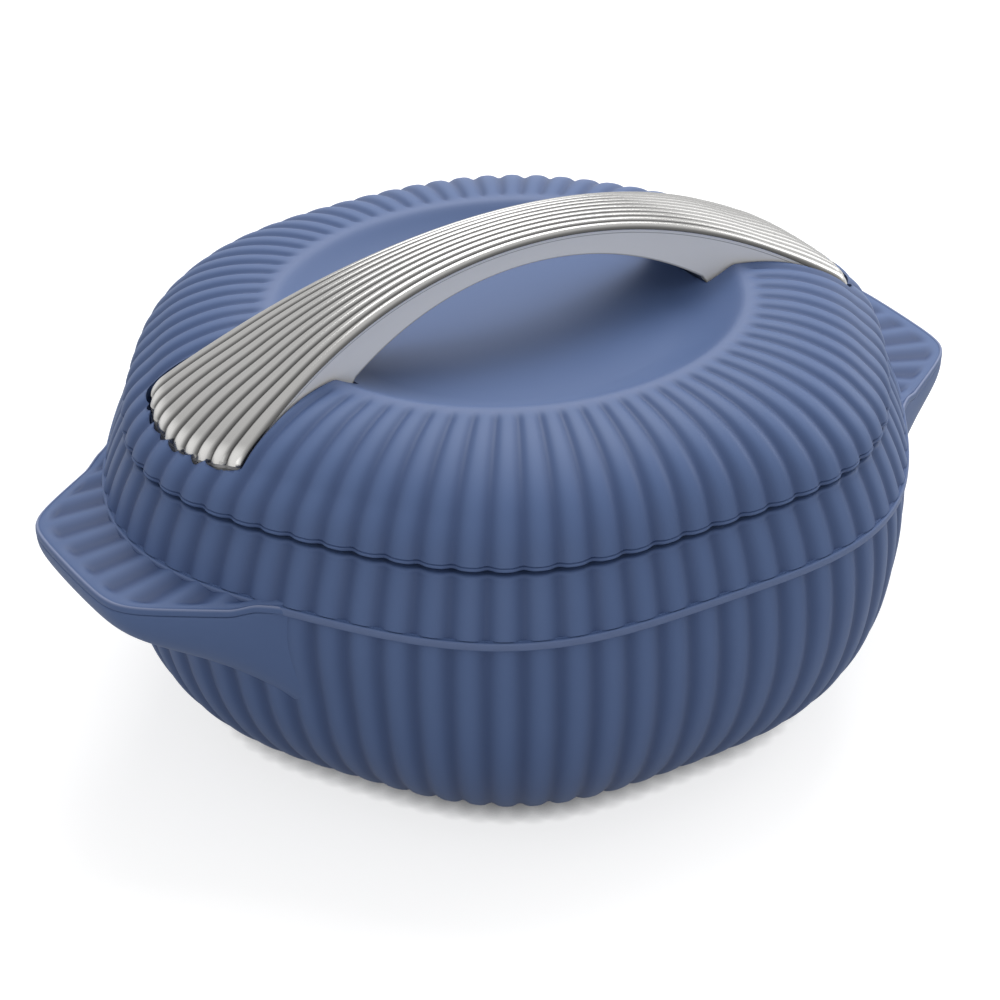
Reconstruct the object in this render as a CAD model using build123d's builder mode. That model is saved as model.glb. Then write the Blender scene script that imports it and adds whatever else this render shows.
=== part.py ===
from build123d import *
from bisect import bisect_right
import math
import os

# An insulated casserole with a lift-off lid. Millimetres, +Z up. The origin is on the table
# under the middle of the bowl, and +X runs along the two ears and the handle.

# The oval, softly six-cornered plan: one stretch along the ears and one ripple of six lobes
rim_radius = 120.0
rim_oval = 0.036
rim_lobe = 0.022
body_oval = 0.010
body_lobe = 0.024

# Flutes round the lid, the collar and the body, all in line
flute_count = 74
flute_depth = 1.3
crest_share = 0.42

# Lower body
body_height = 80.6
body_overhang = 3.3
body_bulge = 9.4
body_bulge_drop = 45.0
base_radius = 78.6
base_spread = 28.7
wall = 2.5
body_bands = 5
inner_sides = 36
inner_bands = 3

# Collar that frames the steel bowl, with the ear plates
bead_height = 2.0
bead_width = 0.7
collar_height = 17.8
collar_flare = 6.5
flange_thickness = 3.0

# Ears
ear_length = 35.5
ear_tip_width = 50.4
ear_root_width = 109.2
ear_corner = 12.0
ear_corner_bands = 3
ear_groove = 0.8
ear_lip = 4.0
skirt_depth = 40.0
skirt_lean = 49.5
skirt_inset = 15.8
skirt_spread = 10.6
skirt_curve = 1.5
skirt_bands = 4

# Steel bowl
bowl_inset = 20.0
bowl_taper = 15.0
bowl_corner = 30.0
bowl_bands = 3
bowl_sheet = 0.8
bowl_flange = 7.0
foam_under_bowl = 12.0

# Base cover
cover_margin = 12.6
cover_ledge = 6.0
cover_thickness = 1.8
cover_recess = 0.4
plug_radius = 8.0

# Lid
seam_gap = 1.5
lid_rise = 26.1
lid_lean = 4.6
lid_shoulder = 17.6
crest_share_of_rim = 0.604
crest_spread = 24.5
lid_bands = 4
dish_bands = 4
dish_inner_bands = 2
crest_land = 1.8
dish_slope = 16.0
dish_depth = 10.0
liner_sheet = 1.2
liner_drop = 8.0
liner_gap = 4.0
gasket_width = 5.0

# Handle: a ribbed bow over the dish
handle_rise = 26.6
handle_crown = 2.6
handle_waist = 24.0
handle_flare = 57.0
handle_flare_curve = 2.15
handle_end_drop = 36.3
handle_inset = 1.0
handle_end_bulge = 8.7
handle_end_bands = 6
end_spread = 1.2
handle_ribs = 10
handle_rib_depth = 0.7
handle_rib_shoulder = 0.3
handle_side_lean = 1.2
handle_wall = 2.0
handle_bands = 5
grip_share_of_rim = 0.537
grip_rise = 20.2
foot_depth = 4.4
pocket_depth = 20.5
pocket_gap = 1.2

# Handle screws
screw_radius = 1.5
screw_head_radius = 3.4
screw_head_height = 2.0
screw_reach = 8.0

# Clearances
fit = 0.3
over = 1.0

# Levels that follow from the sizes above
collar_foot = body_height + bead_height
collar_top = collar_foot + collar_height
lid_edge = collar_top + seam_gap
crest = lid_edge + lid_rise
handle_top = crest + handle_rise
pocket_floor = crest - pocket_depth
shell_inset = wall + flute_depth
flange_under = collar_top - flange_thickness

# Radii that follow from the sizes above
collar_foot_radius = rim_radius + collar_flare
body_radius = collar_foot_radius - body_overhang
bowl_radius = rim_radius - bowl_inset
bowl_floor_radius = bowl_radius - bowl_taper
bowl_floor = shell_inset + foam_under_bowl
neck_radius = (rim_radius - shell_inset) * (1 - rim_oval - rim_lobe) - 2 * fit
liner_radius = bowl_radius - liner_gap
cover_radius = base_radius - cover_margin
ear_reach = rim_radius + ear_length
crest_radius = crest_share_of_rim * rim_radius
dish_radius = crest_radius - crest_land
handle_reach = rim_radius - handle_inset
handle_corner = handle_reach - handle_end_bulge
grip_half_span = grip_share_of_rim * rim_radius
screw_along = liner_radius - liner_sheet - screw_head_radius - over


def plan_radius(mean, oval, lobe, angle):
    """Radius of the plan outline at an angle from the ear axis."""
    return mean * (1 + oval * math.cos(2 * angle) + lobe * math.cos(6 * angle))


def plan_point(mean, oval, lobe, angle, inset=0.0):
    """A point of the plan outline, moved inward by the inset."""
    radius = plan_radius(mean, oval, lobe, angle) - inset
    return (radius * math.cos(angle), radius * math.sin(angle))


# Angles of the flutes: equal lengths along the rim, with the middle of a rib on the ear axis
steps = 1440
step_angles = [2 * math.pi * i / steps for i in range(steps + 1)]
rim_points = [plan_point(1.0, rim_oval, rim_lobe, angle) for angle in step_angles]
run = [0.0]
for here, there in zip(rim_points, rim_points[1:]):
    run.append(run[-1] + math.dist(here, there))


def rim_angle(share):
    """Angle at a share of the way round the rim, measured along its length."""
    target = (share % 1.0) * run[-1]
    i = min(bisect_right(run, target), steps) - 1
    part_way = (target - run[i]) / (run[i + 1] - run[i])
    return step_angles[i] + part_way * (step_angles[i + 1] - step_angles[i])


def flute_section(height, mean, oval, lobe, depth):
    """A fluted outline at a height: a valley and a rib with two shoulders at every pitch."""
    corners = []
    for k in range(flute_count):
        shares = ((k - 0.5, depth), (k - crest_share / 2, 0.0), (k + crest_share / 2, 0.0))
        for share, inset in shares:
            corners.append(plan_point(mean, oval, lobe, rim_angle(share / flute_count), inset))
    with BuildSketch(Plane.XY.offset(height)) as section:
        with BuildLine():
            Polyline(*corners, close=True)
        make_face()
    return section.sketch


def plain_section(height, mean, oval, lobe):
    """The same plan without flutes, for the inner faces."""
    angles = [2 * math.pi * k / inner_sides for k in range(inner_sides)]
    with BuildSketch(Plane.XY.offset(height)) as section:
        with BuildLine():
            Polyline(*[plan_point(mean, oval, lobe, angle) for angle in angles], close=True)
        make_face()
    return section.sketch


def facet_loft(sections):
    """A ruled loft through straight-sided sections, all planes: twisted facets are split in two."""
    with BuildPart() as body:
        loft(sections, ruled=True)
    facets = []
    for face in body.faces():
        if face.is_planar:
            facets.append(Face(face.outer_wire()))
        else:
            first, second, third, fourth = [edge.start_point() for edge in face.outer_wire().order_edges()]
            facets.append(Face(Wire.make_polygon([first, second, third])))
            facets.append(Face(Wire.make_polygon([third, fourth, first])))
    return Solid(Shell(facets))


def bezier(points, t, inset=0.0):
    """A point of a cubic profile (radius, height), moved to its left side by the inset."""
    weights = ((1 - t) ** 3, 3 * t * (1 - t) ** 2, 3 * t * t * (1 - t), t ** 3)
    slopes = (-3 * (1 - t) ** 2, 3 * (1 - t) * (1 - 3 * t), 3 * t * (2 - 3 * t), 3 * t * t)
    radius = sum(w * p[0] for w, p in zip(weights, points))
    height = sum(w * p[1] for w, p in zip(weights, points))
    along = sum(w * p[0] for w, p in zip(slopes, points))
    up = sum(w * p[1] for w, p in zip(slopes, points))
    length = math.hypot(along, up)
    return (radius - inset * up / length, height + inset * along / length)


# Profiles from the base up to the collar and from the lid's edge in to the crest of the dish
body_profile = (
    (base_radius, 0.0),
    (base_radius + base_spread, 0.0),
    (body_radius + body_bulge, body_height - body_bulge_drop),
    (body_radius, body_height),
)
lid_profile = (
    (rim_radius, lid_edge),
    (rim_radius - lid_lean, lid_edge + lid_shoulder),
    (crest_radius + crest_spread, crest),
    (crest_radius, crest),
)


def blend(start, end, t):
    """A value between two ends."""
    return start + (end - start) * t


def inner_sections(profile, inset, oval, lobe):
    """Plain sections inside a profile, at an even inset from it."""
    sections = []
    for i in range(inner_bands + 1):
        radius, height = bezier(profile, i / inner_bands, inset)
        sections.append(plain_section(height, radius, oval, lobe))
    return sections


def round_plate(radius, bottom, top):
    """A round plate with flat facets."""
    return facet_loft([plain_section(bottom, radius, 0.0, 0.0), plain_section(top, radius, 0.0, 0.0)])


# Ears: straight sides at one slope, so that each gusset side is flat
ear_side_slope = (ear_root_width - ear_tip_width) / 2 / ear_length


def ear_outline(t, inset=0.0):
    """The plan of both ears, part of the way down the gussets: a bar with narrowing, rounded tips."""
    height = body_height - skirt_depth * t
    reach = ear_reach - skirt_lean * t ** skirt_curve - inset
    root_x = rim_radius - skirt_inset * t
    half_root = (ear_root_width + skirt_spread * t) / 2 - inset
    half_tip = half_root - ear_side_slope * (reach - root_x)
    back = ear_corner * (reach - root_x) / ear_length
    bend = (
        (reach - back, half_tip + ear_side_slope * back),
        (reach, half_tip),
        (reach, half_tip),
        (reach, half_tip - back),
    )
    tip = [(root_x, half_root)]
    for i in range(ear_corner_bands + 1):
        tip.append(bezier(bend, i / ear_corner_bands))
    far = tip + [(x, -y) for x, y in reversed(tip)]
    near = [(-x, -y) for x, y in far]
    with BuildSketch(Plane.XY.offset(height)) as outline:
        with BuildLine():
            Polyline(*far, *near, close=True)
        make_face()
    return outline.sketch


def bowl_outline(clearance):
    """Radius and height along the steel bowl's wall, grown by a clearance."""
    floor = bowl_floor - clearance
    floor_radius = bowl_floor_radius + clearance
    mouth_radius = bowl_radius + clearance
    rise = bowl_corner / (collar_top - floor)
    corner = (
        (floor_radius - bowl_corner, floor),
        (floor_radius, floor),
        (floor_radius, floor),
        (blend(floor_radius, mouth_radius, rise), floor + bowl_corner),
    )
    bend = [bezier(corner, i / bowl_bands) for i in range(bowl_bands + 1)]
    return bend + [(mouth_radius, collar_top)]


def bowl_space(clearance):
    """The room that the steel bowl takes, grown by a clearance."""
    return facet_loft([plain_section(z, r, 0.0, 0.0) for r, z in bowl_outline(clearance)])


def body_space(gap):
    """The room inside the body shell up to the collar, shrunk by a gap."""
    sections = inner_sections(body_profile, shell_inset + gap, body_oval, body_lobe)
    top_radius = bezier(body_profile, 1.0, shell_inset + gap)[0]
    sections.append(plain_section(body_height, top_radius, body_oval, body_lobe))
    return facet_loft(sections)


# Body shell: the fluted lower wall with the smooth gussets that carry the ears
with BuildPart() as body_shell:
    add(facet_loft([ear_outline(i / skirt_bands) for i in range(skirt_bands + 1)]))
    body_walls = []
    for i in range(body_bands + 1):
        radius, height = bezier(body_profile, i / body_bands)
        depth = flute_depth * radius / body_radius
        body_walls.append(flute_section(height, radius, body_oval, body_lobe, depth))
    add(facet_loft(body_walls))
    add(body_space(0.0), mode=Mode.SUBTRACT)
    add(round_plate(cover_radius + fit, 0, cover_recess + cover_thickness), mode=Mode.SUBTRACT)
    add(round_plate(cover_radius - cover_ledge, 0, shell_inset + over), mode=Mode.SUBTRACT)
body_shell.part.label = "body_shell"

# Rim collar: the fluted band over the body, with its bead, its ear plates and the flange
# that frames the steel bowl
collar_room = (rim_radius - shell_inset, rim_oval, rim_lobe)
foot_flutes = flute_depth * collar_foot_radius / rim_radius
with BuildPart() as rim_collar:
    with BuildSketch(Plane.XY.offset(body_height)):
        add(plain_section(body_height, collar_foot_radius + bead_width, rim_oval, rim_lobe))
        add(ear_outline(0.0))
    extrude(amount=bead_height)
    with BuildSketch(Plane.XY.offset(collar_foot)):
        for k in range(flute_count):
            angle = rim_angle((k + 0.5) / flute_count)
            if abs(math.sin(angle)) * ear_reach < ear_root_width / 2:
                with Locations((rim_radius * math.cos(angle), rim_radius * math.sin(angle))):
                    Rectangle(2 * ear_length, 2 * ear_groove, rotation=math.degrees(angle))
        add(ear_outline(0.0, ear_lip), mode=Mode.INTERSECT)
    extrude(amount=-ear_groove, mode=Mode.SUBTRACT)
    add(
        facet_loft(
            [
                flute_section(collar_foot, collar_foot_radius, rim_oval, rim_lobe, foot_flutes),
                flute_section(collar_top, rim_radius, rim_oval, rim_lobe, flute_depth),
            ]
        )
    )
    with BuildSketch(Plane.XY.offset(body_height)):
        add(plain_section(body_height, *collar_room))
    extrude(amount=flange_under - body_height, mode=Mode.SUBTRACT)
    add(round_plate(bowl_radius + fit, flange_under, collar_top), mode=Mode.SUBTRACT)
    add(round_plate(bowl_radius + bowl_flange + fit, collar_top - bowl_sheet, collar_top),
        mode=Mode.SUBTRACT)
rim_collar.part.label = "rim_collar"

# Steel bowl with its flat flange in the collar
with BuildPart() as inner_bowl:
    add(bowl_space(0.0))
    add(round_plate(bowl_radius + bowl_flange, collar_top - bowl_sheet, collar_top))
    add(bowl_space(-bowl_sheet), mode=Mode.SUBTRACT)
inner_bowl.part.label = "inner_bowl"

# Foam between the body shell and the bowl
with BuildPart() as body_foam:
    add(body_space(fit))
    add(round_plate(neck_radius, body_height, flange_under - fit))
    add(bowl_space(fit), mode=Mode.SUBTRACT)
body_foam.part.label = "body_foam"

# Base cover in its ledge, and the plug of the foam filling hole
with BuildPart() as base_cover:
    add(round_plate(cover_radius, cover_recess, cover_recess + cover_thickness))
    add(round_plate(plug_radius + fit, cover_recess, cover_recess + cover_thickness), mode=Mode.SUBTRACT)
base_cover.part.label = "base_cover"

with BuildPart() as base_plug:
    add(round_plate(plug_radius, cover_recess, cover_recess + cover_thickness))
base_plug.part.label = "base_plug"

# The handle's bow: an arc in side view, with a waist in plan
handle_edge_top = handle_top - handle_crown
bow_radius = (handle_corner ** 2 + handle_end_drop ** 2) / (2 * handle_end_drop)


def bow_height(x):
    """Height of the handle's top edge along its length."""
    return handle_edge_top - bow_radius + math.sqrt(bow_radius ** 2 - x * x)


def half_width(x):
    """Half of the handle's width, growing from the waist to the flared ends."""
    return blend(handle_waist, handle_flare, (abs(x) / handle_corner) ** handle_flare_curve) / 2


def ribbed_bow_section(x):
    """Upright cross-section of the handle with its row of ribs."""
    half = half_width(x)
    foot = half - handle_side_lean
    corners = [(foot, pocket_floor + fit), (-foot, pocket_floor + fit)]
    for k in range(handle_ribs):
        shares = ((0.0, handle_rib_depth), (handle_rib_shoulder, 0.0), (1 - handle_rib_shoulder, 0.0))
        for share, drop in shares:
            across = 2 * (k + share) / handle_ribs - 1
            crown = handle_crown * math.sqrt(1 - across ** 2)
            corners.append((half * across, bow_height(x) + crown - drop))
    corners.append((half, bow_height(x) - handle_rib_depth))
    with BuildSketch(Plane.YZ.offset(x)) as section:
        with BuildLine():
            Polyline(*corners, close=True)
        make_face()
    return section.sketch


def core_section(x, gap):
    """Upright cross-section of the bar inside the handle, grown by a gap."""
    half = half_width(x) - handle_side_lean - handle_wall + gap
    top = bow_height(x) - handle_rib_depth - handle_wall + gap
    bottom = pocket_floor - gap
    with BuildSketch(Plane.YZ.offset(x)) as section:
        with BuildLine():
            Polyline((half, bottom), (half, top), (-half, top), (-half, bottom), close=True)
        make_face()
    return section.sketch


def end_outline(grow, spread):
    """Points of the handle's bowed end from side to side, grown all round and spread sideways."""
    points = []
    for i in range(handle_end_bands + 1):
        across = spread * (2 * i / handle_end_bands - 1)
        reach = handle_reach + grow - handle_end_bulge * across ** 2
        points.append((reach, across * (handle_flare / 2 + grow)))
    return points


def bow_plan():
    """Plan that trims the handle to its two bowed ends."""
    end = end_outline(0.0, end_spread)
    with BuildSketch(Plane.XY.offset(pocket_floor - over)) as plan:
        with BuildLine():
            Polyline(*end, *[(-x, -y) for x, y in end], close=True)
        make_face()
    return plan.sketch


def grip_gap():
    """Side view of the space for the fingers under the bow."""
    foot_level = crest - foot_depth
    left = (-grip_half_span, foot_level)
    right = (grip_half_span, foot_level)
    floor = pocket_floor - over
    with BuildSketch(Plane.XZ) as gap:
        with BuildLine():
            ThreePointArc(left, (0, foot_level + grip_rise), right)
            Polyline(right, (grip_half_span, floor), (-grip_half_span, floor), left)
        make_face()
    return gap.sketch


def bow_stations(reach):
    """Even steps along the handle from one end to the other."""
    return [reach * i / handle_bands for i in range(-handle_bands, handle_bands + 1)]


bow_depth = handle_top - pocket_floor + 2 * over
core_reach = handle_corner - handle_wall

# Core: the bar inside the handle that takes the screws
screw_places = [(-screw_along, 0), (screw_along, 0)]
with BuildPart() as handle_core:
    add(facet_loft([core_section(x, 0.0) for x in bow_stations(core_reach)]))
    extrude(grip_gap(), amount=handle_flare, both=True, mode=Mode.SUBTRACT)
    with Locations(*[(x, y, pocket_floor) for x, y in screw_places]):
        Cylinder(screw_radius + fit / 2, 2 * (screw_reach + fit), mode=Mode.SUBTRACT)
handle_core.part.label = "handle_core"

# Cover: the plated ribbed channel over the core
with BuildPart() as handle_cover:
    add(facet_loft([ribbed_bow_section(x) for x in bow_stations(handle_reach)]))
    extrude(bow_plan(), amount=bow_depth, mode=Mode.INTERSECT)
    extrude(grip_gap(), amount=handle_flare, both=True, mode=Mode.SUBTRACT)
    add(facet_loft([core_section(x, fit) for x in bow_stations(core_reach + fit)]), mode=Mode.SUBTRACT)
handle_cover.part.label = "handle_cover"


def pocket_plan(grow):
    """Plan of the two lid pockets that take the handle's feet."""
    start = grip_half_span - grow
    stations = [blend(start, handle_corner, i / handle_bands) for i in range(handle_bands)]
    side = [(x, half_width(x) + grow) for x in stations]
    outline = [(x, -y) for x, y in side] + end_outline(grow, 1.0) + side[::-1]
    with BuildSketch(Plane.XY.offset(pocket_floor)) as plan:
        for turn in (-1, 1):
            with BuildLine():
                Polyline(*[(turn * x, y) for x, y in outline], close=True)
            make_face()
    return plan.sketch


def dish_space(grow, bands):
    """The room of the dish in the lid's top: an oval with a soft S-shaped side, grown by a wall."""
    sections = []
    for i in range(bands + 1):
        t = i / bands
        ease = t * t * (3 - 2 * t)
        height = crest - dish_depth * (1 - ease) - grow
        sections.append(plain_section(height, dish_radius - dish_slope * (1 - t) + grow, rim_oval, 0.0))
    sections.append(plain_section(crest + over, dish_radius + grow, rim_oval, 0.0))
    return facet_loft(sections)


def lid_hollow(gap):
    """The lid's inside: under the dome and the dish and round the pockets, shrunk by a gap."""
    with BuildPart() as hollow:
        add(facet_loft(inner_sections(lid_profile, shell_inset + gap, rim_oval, rim_lobe)))
        add(dish_space(wall + gap, dish_inner_bands), mode=Mode.SUBTRACT)
        pocket = pocket_plan(pocket_gap + wall + gap)
        extrude(pocket, amount=pocket_depth + over, mode=Mode.SUBTRACT)
        extrude(pocket, amount=-(wall + gap), mode=Mode.SUBTRACT)
    return hollow.part


# Lid shell: the fluted dome with the smooth dish and the pockets for the handle's feet
lid_space = lid_hollow(0.0)
with BuildPart() as lid_shell:
    lid_walls = []
    for i in range(lid_bands + 1):
        radius, height = bezier(lid_profile, i / lid_bands)
        depth = flute_depth * radius / rim_radius if i < lid_bands else 0.0
        lid_walls.append(flute_section(height, radius, rim_oval, rim_lobe, depth))
    add(facet_loft(lid_walls))
    add(dish_space(0.0, dish_bands), mode=Mode.SUBTRACT)
    extrude(pocket_plan(pocket_gap), amount=pocket_depth + over, mode=Mode.SUBTRACT)
    add(lid_space, mode=Mode.SUBTRACT)
    with Locations(*[(x, y, pocket_floor) for x, y in screw_places]):
        Cylinder(screw_radius + fit, 2 * (wall + over), mode=Mode.SUBTRACT)
lid_shell.part.label = "lid_shell"

# Liner: the tray that closes the lid from below and plugs the bowl
liner_flange = lid_edge + over
liner_top = liner_flange + liner_sheet
liner_edge = bezier(lid_profile, 1 / inner_bands, shell_inset + 2 * fit)[0]
liner_floor = collar_top - liner_drop
with BuildPart() as lid_liner:
    with BuildSketch(Plane.XY.offset(liner_flange)):
        add(plain_section(liner_flange, liner_edge, rim_oval, rim_lobe))
    extrude(amount=liner_sheet)
    add(round_plate(liner_radius, liner_floor, liner_top))
    add(round_plate(liner_radius - liner_sheet, liner_floor + liner_sheet, liner_top),
        mode=Mode.SUBTRACT)
    add(round_plate(plug_radius + fit, liner_floor, liner_floor + liner_sheet), mode=Mode.SUBTRACT)
lid_liner.part.label = "lid_liner"

# Foam between the liner and the lid shell
with BuildPart() as lid_foam:
    add(lid_hollow(fit))
    add(round_plate(2 * rim_radius, 0, liner_top), mode=Mode.SUBTRACT)
    add(round_plate(liner_radius - liner_sheet - fit, liner_floor + liner_sheet, liner_top))
    with Locations(*[(x, y, pocket_floor - wall) for x, y in screw_places]):
        Cylinder(screw_head_radius + fit, 2 * (screw_head_height + fit), mode=Mode.SUBTRACT)
lid_foam.part.label = "lid_foam"

# Plug of the lid's foam filling hole
with BuildPart() as lid_plug:
    add(round_plate(plug_radius, liner_floor, liner_floor + liner_sheet))
lid_plug.part.label = "lid_plug"

# Soft ring under the liner's flange that meets the bowl's flange
with BuildPart() as lid_gasket:
    add(round_plate(bowl_radius + fit + gasket_width, collar_top + fit, liner_flange))
    add(round_plate(bowl_radius + fit, collar_top + fit, liner_flange), mode=Mode.SUBTRACT)
lid_gasket.part.label = "lid_gasket"

# Two screws from inside the lid up into the handle's core
with BuildPart() as handle_screws:
    with Locations(*[(x, y, pocket_floor - wall) for x, y in screw_places]):
        Cylinder(screw_head_radius, screw_head_height, align=(Align.CENTER, Align.CENTER, Align.MAX))
        Cylinder(screw_radius, wall + screw_reach, align=(Align.CENTER, Align.CENTER, Align.MIN))
handle_screws.part.label = "handle_screws"

os.makedirs("parts", exist_ok=True)
pieces = (
    body_shell,
    rim_collar,
    inner_bowl,
    body_foam,
    base_cover,
    base_plug,
    lid_shell,
    lid_liner,
    lid_foam,
    lid_plug,
    lid_gasket,
    handle_core,
    handle_cover,
    handle_screws,
)
for piece in pieces:
    export_step(piece.part, f"parts/{piece.part.label}.step")
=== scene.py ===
import math

import bpy
import numpy as np
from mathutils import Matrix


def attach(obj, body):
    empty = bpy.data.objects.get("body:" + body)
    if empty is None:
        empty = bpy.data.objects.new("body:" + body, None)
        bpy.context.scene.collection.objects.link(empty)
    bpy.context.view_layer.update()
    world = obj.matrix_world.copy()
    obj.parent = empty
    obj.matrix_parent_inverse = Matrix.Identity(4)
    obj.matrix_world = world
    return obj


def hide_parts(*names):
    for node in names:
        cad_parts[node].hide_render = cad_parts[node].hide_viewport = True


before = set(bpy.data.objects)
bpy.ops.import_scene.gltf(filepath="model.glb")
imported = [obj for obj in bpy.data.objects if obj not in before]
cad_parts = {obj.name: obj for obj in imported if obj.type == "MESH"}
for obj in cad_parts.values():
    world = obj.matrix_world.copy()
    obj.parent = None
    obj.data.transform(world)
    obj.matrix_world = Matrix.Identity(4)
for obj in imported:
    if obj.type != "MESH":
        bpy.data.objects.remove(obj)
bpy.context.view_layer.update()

# An insulated casserole: fluted slate-blue body, collar and ears, a fluted lift-off lid with a
# smooth dish, and a ribbed plated bow handle. Sizes are in millimetres, as in the part's source,
# and go into the meshes in metres.
MM = 0.001

# Plan: an oval with a ripple of six soft corners
rim_radius = 120.0
rim_oval = 0.036
rim_lobe = 0.022
body_oval = 0.010
body_lobe = 0.024

# Flutes, in line on the lid, the collar and the body
flute_count = 74
columns_per_flute = 12
flute_depth = 1.25
valley_power = 6.0

# Columns round the plan: of the fluted pieces, the plain ones and the room inside the lid
ring_columns = flute_count * columns_per_flute
plain_columns = 192
room_columns = 148

# Levels and radii of the body, the collar and the lid
body_height = 80.6
body_radius = 123.2
base_radius = 78.6
body_ease_start = 45.0
top_widening = 2.4
collar_foot = 82.6
collar_foot_radius = 126.5
collar_top = 100.4
collar_lip_round = 1.4
bead_radius = 127.15
lid_edge = 101.9
crest = 128.0
crest_radius = 72.4
crest_oval = 0.044
end_dip = 0.026
wall = 3.8
dish_depth = 7.6
dish_sag = 2.2
dish_slope_width = 20.0
crest_round = 1.6

# Handle
handle_corner = 110.3
handle_reach = 118.9
handle_edge_top = 152.0
handle_crown = 2.5
handle_end_crown = 4.6
handle_end_drop = 36.3
handle_waist = 12.0
handle_flare = 28.5
handle_flare_curve = 2.15
handle_lean = 3.0
handle_ribs = 10
rib_depth_middle = 0.55
rib_depth_growth = 0.65
tip_scallop = 1.0
tip_roll = 2.6
tip_roll_length = 3.4
grip_half_span = 64.4
grip_foot = 123.6
grip_top = 143.8
pocket_floor = 107.5
pocket_gap = 1.0
pocket_end_gap = 0.45
pocket_wall = 2.5
pocket_top = 150.0

# Tone on the meshes: the grey of the handle's ribs, and how light the painted highlights on their tips, on
# the crest and on the bead are
rib_shine = 0.44
tip_shine = 0.3
crest_shine = 0.2
bead_shine = 0.22

# Height of the finest surface marks, in metres
mark_height = 0.0001


def smooth_step(start, end, value):
    """0 before the start, 1 after the end, and a cubic ease between them."""
    share = np.clip((value - start) / (end - start), 0.0, 1.0)
    return share * share * (3.0 - 2.0 * share)


def cubic(points, share):
    """Points of a cubic Bezier curve: the four corners weighted by the Bernstein terms of the share."""
    share = np.asarray(share, float)[:, None]
    corner = np.asarray(points, float)
    return (
        corner[0] * (1 - share) ** 3
        + corner[1] * 3 * share * (1 - share) ** 2
        + corner[2] * 3 * share ** 2 * (1 - share)
        + corner[3] * share ** 3
    )


def plan_factor(angle, oval, lobe):
    """Stretch of the plan: one plus the oval times cos 2a plus the lobe times cos 6a."""
    return 1.0 + oval * np.cos(2 * angle) + lobe * np.cos(6 * angle)


def rim_angles(shares):
    """Angles at shares of the way round the rim, measured along the length of its outline."""
    fine = np.linspace(0.0, 2 * np.pi, 20001)
    radius = plan_factor(fine, rim_oval, rim_lobe)
    steps = np.hypot(np.diff(radius * np.cos(fine)), np.diff(radius * np.sin(fine)))
    run = np.concatenate(([0.0], np.cumsum(steps)))
    return np.interp(shares * run[-1], run, fine)


def flute_dip(shares):
    """Flute across its pitch: 0 on the rib, 1 in the valley. A high power of the sine of the place
    makes the valley narrow, and a share of its square rounds the rib."""
    wave = np.abs(np.sin(np.pi * flute_count * shares))
    return 0.75 * wave ** valley_power + 0.25 * wave ** 2


def grid_quads(rows, columns, wrap_rows, wrap_columns, first=0):
    """Corner numbers of the quads of a grid, row after row, closed on itself where it wraps."""
    row = np.arange(rows if wrap_rows else rows - 1)[:, None]
    column = np.arange(columns if wrap_columns else columns - 1)[None, :]
    below = (row + 1) % rows
    beside = (column + 1) % columns
    upper = row * columns
    lower = below * columns
    corners = (upper + column, lower + column, lower + beside, upper + beside)
    return np.stack(corners, axis=-1).reshape(-1, 4) + first


def moved_in(line, distance):
    """A profile moved along its normals by a distance, to the right of the way it runs."""
    slope = np.gradient(line, axis=0)
    length = np.hypot(slope[:, 0], slope[:, 1])
    return line - distance * np.stack((-slope[:, 1] / length, slope[:, 0] / length), axis=-1)


def flute_depth_at(radius, full_radius):
    """Depth of the flutes at a radius: a quarter stays, and the rest shrinks with the radius."""
    return flute_depth * (0.25 + 0.75 * radius / full_radius)


def mark(mesh, name, values):
    """Writes one value for every point into a named attribute of a mesh.

    The materials read three: tone, low where shade is painted into valleys and grooves and high where
    highlights are painted on the handle's rib tips; the painted highlight, above 0 on edges that get a
    painted highlight; and mirror, the share of bare metal in the plating."""
    layer = mesh.attributes.new(name, "FLOAT", "POINT")
    layer.data.foreach_set("value", np.ascontiguousarray(values, dtype=np.float32))


def make_piece(name, points, quads, triangles=None, crease=35.0, tone=None, painted_highlight=None):
    """Puts points (millimetres) and faces into a new mesh object, smooth except at sharp creases."""
    faces = quads.tolist() + ([] if triangles is None else triangles.tolist())
    mesh = bpy.data.meshes.new(name)
    mesh.from_pydata((points * MM).tolist(), [], faces)
    mesh.validate()
    if tone is not None:
        mark(mesh, "tone", tone)
    if painted_highlight is not None:
        mark(mesh, "painted_highlight", painted_highlight)
    mesh.shade_smooth()
    mesh.set_sharp_from_angle(angle=math.radians(crease))
    piece = bpy.data.objects.new(name, mesh)
    bpy.context.scene.collection.objects.link(piece)
    return piece


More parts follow.
